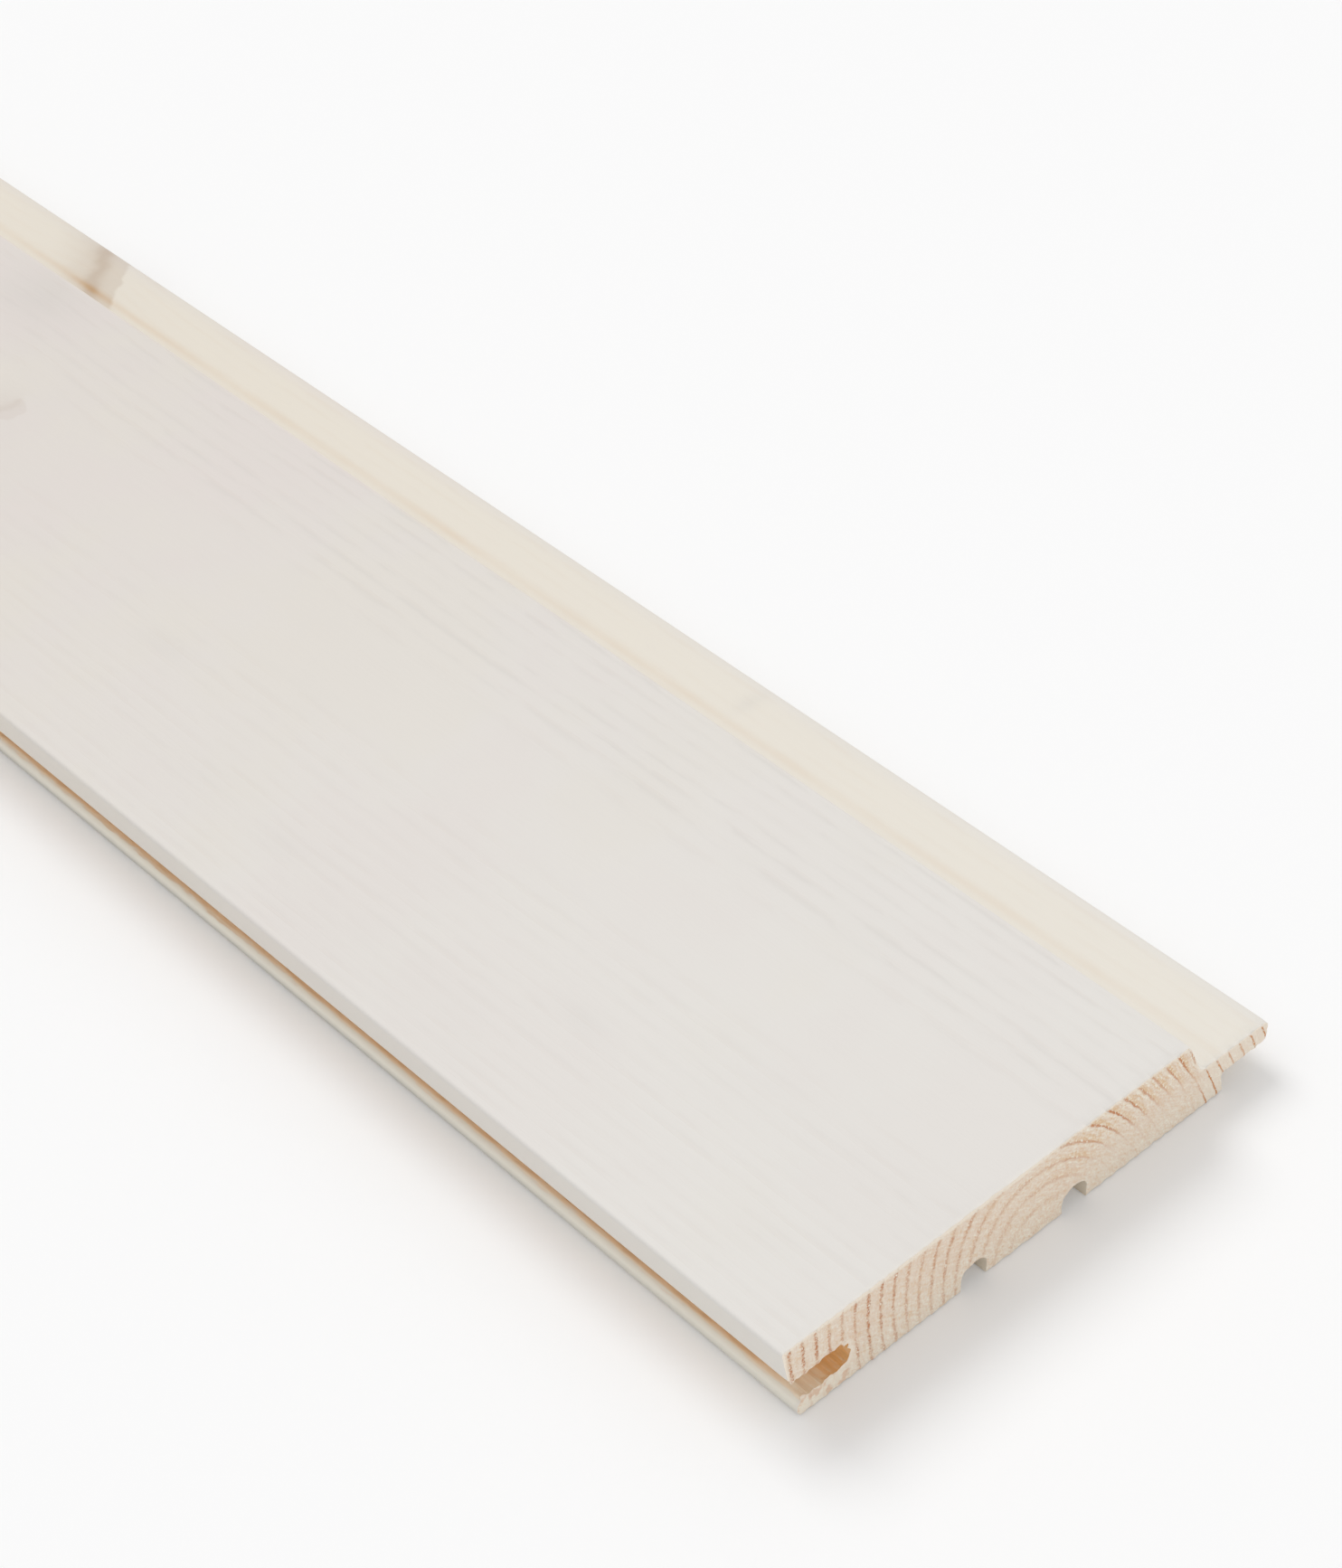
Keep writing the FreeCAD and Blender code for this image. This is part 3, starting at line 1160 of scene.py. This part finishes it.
    def tear_end(self, shape: Shape, end: End) -> None:
        """Roughens one sawn end: recessed early wood, pits, and chipped edges.

        Args:
            shape: The mesh to change.
            end: Which end.
        """
        floats = shape.verts.layers.float
        layer = floats.get(EDGE_ATTRIBUTE) or floats.new(EDGE_ATTRIBUTE)
        zone = list(dict.fromkeys(point for face in self.end_zone(shape, end) for point in face.verts))
        tip = [point for point in zone if point.co.x * end > self.half_length - self.slack]
        rim = [point for point in tip if any(f.material_index == Surface.PLANED for f in point.link_faces)]
        outline = kdtree.KDTree(len(rim))
        tears = []
        for index, point in enumerate(rim):
            outline.insert((0.0, point.co.y, point.co.z), index)
            tears.append(self.tear(point, end))
        outline.balance()
        for edge in {edge for point in rim for edge in point.link_edges}:
            kinds = {face.material_index for face in edge.link_faces}
            edge.smooth = len(kinds) == 1
        moves = []
        for point in zone:
            flat = Vector((0.0, point.co.y, point.co.z))
            _, index, gap = outline.find(flat)
            depth = self.half_length - point.co.x * end
            fade = max(0.0, 1.0 - gap / self.tear_reach) * max(0.0, 1.0 - depth / self.tear_depth) ** 2
            move = tears[index] * fade
            if depth < self.slack:
                point[layer] = min(gap, self.edge_reach)
                move.x -= self.recess(flat, gap, end)
            moves.append((point, Vector((move.x * end, move.y, move.z))))
        for point, move in moves:
            point.co += move

    def recess(self, flat: Vector, gap: float, end: End) -> float:
        """How far a point of a sawn end lies behind the saw's plane.

        Args:
            flat: The point's place, across and height.
            gap: Its distance from the outline.
            end: Which end.

        Returns:
            The depth.
        """
        _, count = self.log.rings(flat.y, flat.z)
        early = bell((count % 1.0 - self.early_middle) * 2.6)
        seed = Vector((end * self.pit_seed, flat.y * self.pit_pitch, flat.z * self.pit_pitch))
        pits = max(0.0, noise.noise(seed)) * self.pit_depth
        worn = max(0.0, 1.0 - gap / self.worn_reach) * (0.05 + 0.12 * abs(noise.noise(seed * 0.6)))
        return early * self.early_recess + pits + worn

    def tear(self, point: bmesh.types.BMVert, end: End) -> Vector:
        """How a point of a sawn end's outline is torn: chipped inwards, or a fringe inside the groove.

        Args:
            point: The point of the outline.
            end: Which end.

        Returns:
            The move, across and up.
        """
        out = Vector((0.0, 0.0, 0.0))
        for face in point.link_faces:
            if face.material_index == Surface.PLANED:
                out += face.normal
        out.x = 0.0
        if out.length < 1e-6:
            return out
        out.normalize()
        across, height = point.co.y, point.co.z
        _, count = self.log.rings(across, height)
        soft = 1.0 - count % 1.0
        pitch = self.rough_pitch
        rough = 0.5 + 0.5 * noise.noise(Vector((end * self.rough_seed, across * pitch, height * pitch)))
        low, high = self.section.groove_back - 0.1, self.section.groove_top + 0.1
        if low < height < high and across < self.fringe_end:
            pitch = self.teeth_pitch
            teeth = noise.noise(Vector((end * self.teeth_seed, across * pitch, height * pitch))) + 0.25
            return out * (self.fringe * max(0.0, teeth) * (0.4 + rough))
        if out.z > 0.3:
            reach = self.slanted_tear if across > self.log.pith_across else self.face_tear
            return out * (-reach * rough * (0.25 + 1.25 * soft))
        return out * (-self.side_tear * rough * (0.4 + 0.6 * soft))

    def dress(self, piece: bpy.types.Object) -> None:
        """Gives the board its materials and ties it to its CAD node.

        Args:
            piece: The board's object.
        """
        planed = PlanedFinish(self.section, self.log, self.half_length, self.lip_y)
        piece.data.materials.append(planed.material())
        piece.data.materials.append(SawnFinish(planed).material())
        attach(piece, "root")
        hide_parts("board")


@dataclass(frozen=True)
class Lamp:
    """One wide lamp that shines towards the board; its share is what it adds to the light on the floor."""

    name: str
    place: Corner
    share: float
    spread: float

    def hang(self) -> None:
        """Makes the lamp."""
        towards = Vector(self.place).normalized()
        lamp = bpy.data.lights.new(self.name, "SUN")
        lamp.energy = self.share * math.pi / towards.z
        lamp.angle = math.radians(self.spread)
        holder = bpy.data.objects.new(self.name, lamp)
        holder.rotation_mode = "QUATERNION"
        holder.rotation_quaternion = towards.to_track_quat("Z", "Y")
        bpy.context.scene.collection.objects.link(holder)


@dataclass
class Studio:
    """Pale floor, even sky, soft lamps from behind and from the front, and the camera."""

    corner: Vector
    image: tuple[int, int] = (1484, 1734)
    focal_pixels: float = 3677.0
    corner_pixel: tuple[float, float] = (865.0, 1499.5)
    corner_depth: float = 0.4071
    azimuth: float = 46.92
    elevation: float = 41.22
    sensor: float = 36.0
    clip_start: float = 0.01
    floor_size: float = 12.0
    floor_drop: float = 0.0002
    floor_colour: Colour = (0.95, 0.95, 0.95, 1.0)
    seen_floor: Colour = (0.81, 0.81, 0.81, 1.0)
    floor_glow: float = 0.15
    sky: float = 0.60
    seen_sky: float = 0.957
    sky_colour: Colour = (1.0, 1.0, 1.0, 1.0)
    lamps: tuple[Lamp, ...] = (
        Lamp("key", (-1.0, 0.05, 1.25), 0.295, 34.0),
        Lamp("tongue_side", (-0.75, 0.95, 1.25), 0.03, 40.0),
        Lamp("groove_side", (-0.75, -0.95, 1.25), 0.05, 40.0),
        Lamp("fill", (1.0, 0.0, 0.35), 0.025, 40.0),
    )

    def build(self) -> None:
        """Makes the floor, the light and the camera."""
        self.lay_floor()
        self.light()
        self.aim()

    def lay_floor(self) -> None:
        """Lays the floor just under the board."""
        shape = bmesh.new()
        bmesh.ops.create_grid(shape, x_segments=1, y_segments=1, size=self.floor_size / 2)
        bmesh.ops.translate(shape, vec=(0.0, 0.0, -self.floor_drop), verts=shape.verts)
        mesh = bpy.data.meshes.new("floor")
        shape.to_mesh(mesh)
        shape.free()
        floor = bpy.data.objects.new("floor", mesh)
        bpy.context.scene.collection.objects.link(floor)
        sheet = Sheet(bpy.data.materials.new("pale_floor"))
        plain = sheet.node("ShaderNodeBsdfDiffuse", None, {"Color": self.floor_colour})
        seen = sheet.node("ShaderNodeBsdfDiffuse", None, {"Color": self.seen_floor})
        glow = sheet.node("ShaderNodeEmission", None, {"Strength": self.floor_glow})
        bright = sheet.node("ShaderNodeAddShader", None, {0: seen.outputs[0], 1: glow.outputs[0]})
        shader = sheet.node(
            "ShaderNodeMixShader", None, {0: sheet.looks(), 1: plain.outputs[0], 2: bright.outputs[0]}
        )
        sheet.node("ShaderNodeOutputMaterial", None, {"Surface": shader.outputs[0]})
        mesh.materials.append(sheet.owner)

    def light(self) -> None:
        """Sets an even sky and hangs the lamps."""
        scene = bpy.context.scene
        scene.view_settings.view_transform = "Standard"
        scene.world = bpy.data.worlds.new("even_sky")
        sheet = Sheet(scene.world)
        strength = sheet.looks() * (self.seen_sky - self.sky) + self.sky
        sky = sheet.node("ShaderNodeBackground", None, {"Color": self.sky_colour, "Strength": strength})
        sheet.node("ShaderNodeOutputWorld", None, {"Surface": sky.outputs[0]})
        for lamp in self.lamps:
            lamp.hang()

    def aim(self) -> None:
        """Places the camera so that the face's near corner falls on its pixel of the photograph."""
        turn = math.radians(self.azimuth)
        tilt = math.radians(self.elevation)
        back = Vector(
            (math.sin(turn) * math.cos(tilt), -math.cos(turn) * math.cos(tilt), math.sin(tilt))
        )
        right = Vector((math.cos(turn), math.sin(turn), 0.0))
        up = back.cross(right)
        wide, tall = self.image
        aside = (self.corner_pixel[0] - wide / 2) / self.focal_pixels
        below = (self.corner_pixel[1] - tall / 2) / self.focal_pixels
        data = bpy.data.cameras.new("camera")
        data.sensor_width = self.sensor
        data.lens = self.sensor * self.focal_pixels / max(self.image)
        data.clip_start = self.clip_start
        holder = bpy.data.objects.new("camera", data)
        holder.location = self.corner + (back - right * aside + up * below) * self.corner_depth
        holder.rotation_mode = "QUATERNION"
        holder.rotation_quaternion = back.to_track_quat("Z", "Y")
        bpy.context.scene.collection.objects.link(holder)
        bpy.context.scene.camera = holder


def main() -> None:
    """Builds the board, then the studio."""
    logging.basicConfig(level=logging.INFO, format="%(name)s: %(message)s")
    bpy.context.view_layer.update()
    _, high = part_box("board")
    section = Section()
    lip_y = high.y / MM - section.tongue_tip
    board = Board(section, Log(), high.x / MM, lip_y)
    piece = board.build()
    board.dress(piece)
    triangles = sum(len(face.vertices) - 2 for face in piece.data.polygons)
    LOG.info("%s: %d triangles", piece.name, triangles)
    Studio(Vector((high.x, lip_y * MM, high.z))).build()
    LOG.info("studio: floor, sky, lamps and camera")


if __name__ == "__main__":
    main()
